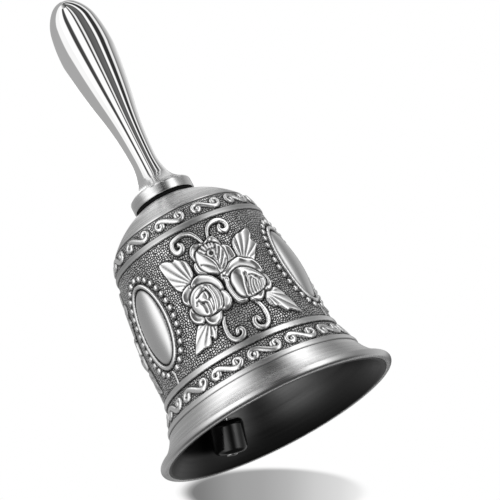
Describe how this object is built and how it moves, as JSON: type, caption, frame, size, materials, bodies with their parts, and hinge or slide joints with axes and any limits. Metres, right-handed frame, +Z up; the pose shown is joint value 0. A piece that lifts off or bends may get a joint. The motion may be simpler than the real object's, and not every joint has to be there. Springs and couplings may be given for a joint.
{
  "type": "hand bell",
  "caption": "Ornate cast hand bell with a smooth polished handle, raised roses and medallions, scroll bands, a flared lip and a hanging clapper",
  "frame": {"origin": "middle of the bell's mouth, in the plane that the rim rests on", "axes": "+Z up along the bell and handle axis; +X and +Y across the mouth, with the camera side of the bell facing -Y"},
  "size_m": [0.068, 0.068, 0.1324],
  "materials": {
    "antique_silver": "zinc alloy casting with antique silver plating, stippled ground, dark patina in the recesses",
    "turned_silver": "zinc alloy, silver plated, brushed round the axis",
    "polished_silver": "silver plated and polished to a mirror",
    "black_washer": "matt black rubber",
    "steel_wire": "bright drawn steel",
    "black_bob": "black oxide steel, smooth and slightly glossy"
  },
  "bodies": {
    "bell": {"bell_shell": "antique_silver", "crown_washer": "black_washer", "handle_collar": "turned_silver", "handle_grip": "polished_silver", "eye_screw": "steel_wire", "inner_washer": "steel_wire", "lock_nut": "steel_wire"},
    "link": {"link_ring": "steel_wire"},
    "clapper": {"clapper_rod": "steel_wire", "clapper_bob": "black_bob", "bob_rivet": "steel_wire"}
  },
  "joints": [
    {"name": "link_swing", "type": "hinge", "parent": "bell", "child": "link", "pos_m": [0, 0, 0.0553], "axis": [1, 0, 0], "range_deg": [-35, 0]},
    {"name": "clapper_swing", "type": "hinge", "parent": "link", "child": "clapper", "pos_m": [0, 0.00135, 0.05101], "axis": [0, 0.9537, 0.3007], "range_deg": [-33, 0]}
  ]
}
